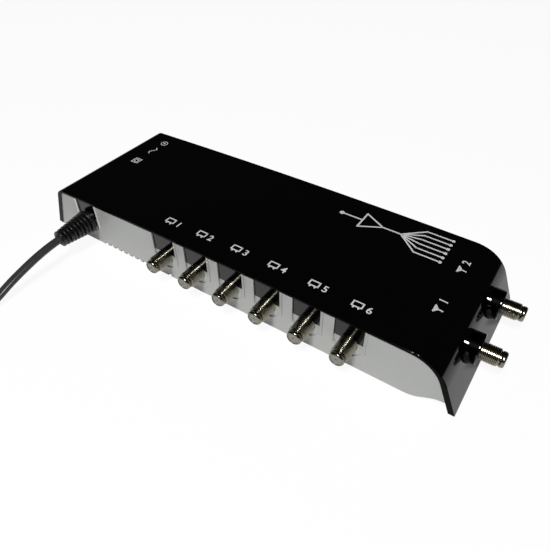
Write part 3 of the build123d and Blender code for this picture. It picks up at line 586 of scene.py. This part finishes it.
# Circuit board: green laminate screwed to posts of the tray. It carries the ferrites of the
# splitter, the amplifier under its tinned can, the rectifier and the regulator on its heat sink.
dress("circuit_board", grained("board_laminate", (0.02, 0.16, 0.05), 0.35, shade=0.5, scale=200.0))
tin = grained("tinned_steel", (0.62, 0.62, 0.6), 0.3, 1.0, 0.25, 0.2, 160.0, 0.00001)
for node in ("screening_can", "screening_lid"):
    dress(node, tin)
dress("splitter_ferrites", grained("ferrite", (0.035, 0.034, 0.036), 0.6, scale=900.0, relief=0.00004))
package = grained("black_package", (0.02, 0.02, 0.022), 0.45, scale=600.0)
for node in ("amplifier_transistors", "bridge_rectifier", "voltage_regulator"):
    dress(node, package)
dress("chip_parts", grained("chip_ceramic", (0.28, 0.2, 0.13), 0.45, scale=900.0))
dress("smoothing_capacitors", grained("capacitor_sleeve", (0.02, 0.03, 0.08), 0.3, scale=300.0))
dress("heat_sink", grained("anodised_aluminium", (0.05, 0.05, 0.052), 0.4, 0.7, scale=500.0))
dress("secondary_leads", grained("yellow_insulation", (0.65, 0.45, 0.04), 0.35, scale=300.0))

# Transformer: a stack of steel laminations through a nylon bobbin with two chambers, one winding in
# each, and a thermal fuse on the primary.
dress("transformer_core", grained("lamination_steel", (0.2, 0.19, 0.18), 0.45, 0.8, scale=300.0))
dress("transformer_bobbin", grained("bobbin_nylon", (0.55, 0.5, 0.4), 0.45, scale=300.0))
enamel = grained("enamelled_copper", (0.45, 0.14, 0.05), 0.3, 0.7, scale=500.0)
for node in ("primary_winding", "secondary_winding"):
    dress(node, enamel)
dress("thermal_fuse", grained("fuse_sleeve", (0.55, 0.5, 0.42), 0.5, scale=400.0))

# Mains side: the lead's two cores end in a nylon terminal block, and white wires run on from it to
# the transformer. A bar screwed down over the lead holds it inside the case.
dress("terminal_block", grained("terminal_nylon", (0.5, 0.48, 0.42), 0.45, scale=300.0))
dress("cord_clamp", grained("clamp_nylon", (0.03, 0.03, 0.032), 0.45, scale=300.0))
dress("mains_core_live", grained("brown_insulation", (0.12, 0.045, 0.02), 0.35, scale=300.0))
dress("mains_core_neutral", grained("blue_insulation", (0.02, 0.09, 0.35), 0.35, scale=300.0))
dress("primary_leads", grained("white_insulation", (0.6, 0.6, 0.57), 0.35, scale=300.0))

# Fasteners and feet: zinc-plated steel screws, the transformer's plated strap, and four rubber feet
# under the tray.
zinc = grained("zinc_plate", (0.6, 0.6, 0.58), 0.3, 1.0, 0.2, 0.15, 400.0, 0.00001)
for node in ("transformer_strap", "terminal_screws", "cord_clamp_screws", "cover_screws",
             "board_screws", "transformer_screws"):
    dress(node, zinc)
dress("rubber_feet", grained("foot_rubber", (0.02, 0.02, 0.021), 0.7, scale=500.0, relief=0.00004))

# Printed marks: white screen-printed ink on the cover. Plain numbers and a small screen mark stand
# by the outputs, and line signs stand where the real cover has its other print.
cover_shape = nodes["top_cover"]
print_step = 0.5 * mm
ink_lift = 0.01 * mm
ink_thickness = 0.03 * mm
digit_height_of_font = 0.7
digit_growth = 0.02
ink_material = grained("white_ink", (0.78, 0.78, 0.77), 0.5, shade=0.06, scale=1500.0)


def bar(shape, start, end, width):
    """Flat inked line between two points of the print."""
    start, end = Vector((*start, 0)), Vector((*end, 0))
    way = end - start
    made = bmesh.ops.create_cube(shape, size=1)["verts"]
    size = Matrix.Diagonal((way.length + width, width, ink_thickness, 1))
    turn = Matrix.Rotation(math.atan2(way.y, way.x), 4, "Z")
    middle = Matrix.Translation((start + end) / 2)
    bmesh.ops.transform(shape, matrix=middle @ turn @ size, verts=made)


def closed_line(shape, corners, width):
    """Inked line from corner to corner and back to the first."""
    for start, end in zip(corners, corners[1:] + corners[:1]):
        bar(shape, start, end, width)


def dot_of_ink(shape, place, radius):
    """Round inked dot."""
    made = bmesh.ops.create_cone(shape, cap_ends=True, segments=24, radius1=radius, radius2=radius,
                                 depth=ink_thickness)["verts"]
    bmesh.ops.translate(shape, vec=(*place, 0), verts=made)


def number_of_ink(shape, text, place, height):
    """Plain number, its middle at a place."""
    words = bpy.data.curves.new("number", "FONT")
    words.body = text
    words.size = height / digit_height_of_font
    words.align_x = "CENTER"
    words.offset = digit_growth * height
    words.extrude = ink_thickness / 2
    holder = bpy.data.objects.new("number", words)
    glyph = bpy.data.meshes.new_from_object(holder)
    bpy.data.objects.remove(holder)
    glyph.transform(Matrix.Translation((place[0], place[1] - height / 2, 0)))
    shape.from_mesh(glyph)
    bpy.data.meshes.remove(glyph)


def print_on_cover(name, shape, place, turn=0.0):
    """Lay a print on the cover's crowned top with its own middle at a place."""
    above = Matrix.Translation((*place, ink_lift + ink_thickness / 2))
    shape.transform(above @ Matrix.Rotation(turn, 4, "Z"))
    reach = [vertex.co.x for vertex in shape.verts]
    for n in range(1, int((max(reach) - min(reach)) / print_step) + 1):
        bmesh.ops.bisect_plane(shape, geom=shape.verts[:] + shape.edges[:] + shape.faces[:],
                               plane_co=(min(reach) + n * print_step, 0, 0), plane_no=(1, 0, 0))
    for vertex in shape.verts:
        spot = cover_shape.ray_cast((vertex.co.x, vertex.co.y, 1), (0, 0, -1))[1]
        vertex.co.z += spot.z
    piece = finish_piece(name, shape)
    piece.data.materials.append(ink_material)


def screen_mark(shape, x, height, line_width):
    """Outline of a screen on two legs."""
    half_width = 0.62 * height
    low, high = -0.28 * height, 0.5 * height
    leg_top = 0.3 * half_width
    leg_foot = 0.55 * half_width
    left_x, right_x = x - half_width, x + half_width
    closed_line(shape, [(left_x, low), (right_x, low), (right_x, high), (left_x, high)], line_width)
    for side in (-1, 1):
        bar(shape, (x + side * leg_top, low), (x + side * leg_foot, -0.5 * height), line_width)


mark_height = 4.4 * mm
mark_line = 0.8 * mm
screen_mark_x = -3.0 * mm
output_number_x = 3.6 * mm
output_marks = [(99.3, 13.2), (122.8, 13.4), (147.0, 13.9), (171.8, 13.7), (197.0, 13.3), (222.1, 12.4)]
for number, (x, y) in enumerate(output_marks, 1):
    mark = bmesh.new()
    screen_mark(mark, screen_mark_x, mark_height, mark_line)
    number_of_ink(mark, str(number), (output_number_x, 0), mark_height)
    print_on_cover(f"output_mark_{number}", mark, (left + x * mm, front + y * mm))


def aerial_mark(shape, x, half_height, half_width, line_width):
    """Mast with two arms that rise to the ends of a bar across its top."""
    arms_low = 0.1 * half_height
    bar(shape, (x, -half_height), (x, half_height), line_width)
    for side in (-1, 1):
        bar(shape, (x, arms_low), (x + side * half_width, half_height), line_width)
    bar(shape, (x - half_width, half_height), (x + half_width, half_height), line_width)


input_marks_x = left + 253 * mm
input_number_x = 4.4 * mm
aerial_x = -2.5 * mm
aerial_half_height = 2.0 * mm
aerial_half_width = 2.2 * mm
for number, y in enumerate((34.3, 68.3), 1):
    mark = bmesh.new()
    number_of_ink(mark, str(number), (input_number_x, 0), mark_height)
    aerial_mark(mark, aerial_x, aerial_half_height, aerial_half_width, mark_line)
    print_on_cover(f"input_mark_{number}", mark, (input_marks_x, front + y * mm), math.pi / 2)

diagram = bmesh.new()
diagram_line = 1.0 * mm
stem_start = -33 * mm
triangle_base = -20 * mm
triangle_tip = -7 * mm
triangle_half = 7 * mm
fan_start = 4 * mm
fan_end = 16 * mm
branch_end = 30 * mm
branch_gap = 4.2 * mm
bar(diagram, (stem_start, 0), (triangle_base, 0), diagram_line)
dot_of_ink(diagram, (stem_start - diagram_line / 2, 0), 1.5 * mm)
closed_line(diagram, [(triangle_base, -triangle_half), (triangle_base, triangle_half),
                      (triangle_tip, 0)], diagram_line)
bar(diagram, (triangle_tip, 0), (fan_start, 0), diagram_line)
for n in range(output_count):
    y = (n - (output_count - 1) / 2) * branch_gap
    bar(diagram, (fan_start, 0), (fan_end, y), diagram_line)
    bar(diagram, (fan_end, y), (branch_end, y), diagram_line)
    dot_of_ink(diagram, (branch_end + diagram_line, y), 1.1 * mm)
print_on_cover("line_diagram", diagram, (left + 210 * mm, front + 75.7 * mm))

small_line = 0.65 * mm
small_signs_x = left + 28 * mm
double_square = bmesh.new()
for half in (1.3 * mm, 2.6 * mm):
    corners = [(-half, -half), (half, -half), (half, half), (-half, half)]
    closed_line(double_square, corners, small_line)
print_on_cover("double_square", double_square, (small_signs_x, front + 53.5 * mm))

ripple = bmesh.new()
ripple_length = 8 * mm
ripple_height = 1.3 * mm
ripple_steps = 16
ripple_spots = [((n / ripple_steps - 0.5) * ripple_length,
                 ripple_height * math.sin(2 * math.pi * n / ripple_steps))
                for n in range(ripple_steps + 1)]
for start, end in zip(ripple_spots, ripple_spots[1:]):
    bar(ripple, start, end, small_line)
print_on_cover("ripple_sign", ripple, (small_signs_x, front + 69.5 * mm), math.pi / 2)

ring_and_dot = bmesh.new()
ring_radius = 2.4 * mm
ring_sides = 24
ring_angles = [2 * math.pi * n / ring_sides for n in range(ring_sides)]
dot_of_ink(ring_and_dot, (0, 0), 0.8 * mm)
closed_line(ring_and_dot, [(ring_radius * math.cos(a), ring_radius * math.sin(a)) for a in ring_angles],
            small_line)
print_on_cover("ring_and_dot", ring_and_dot, (small_signs_x, front + 81.5 * mm))
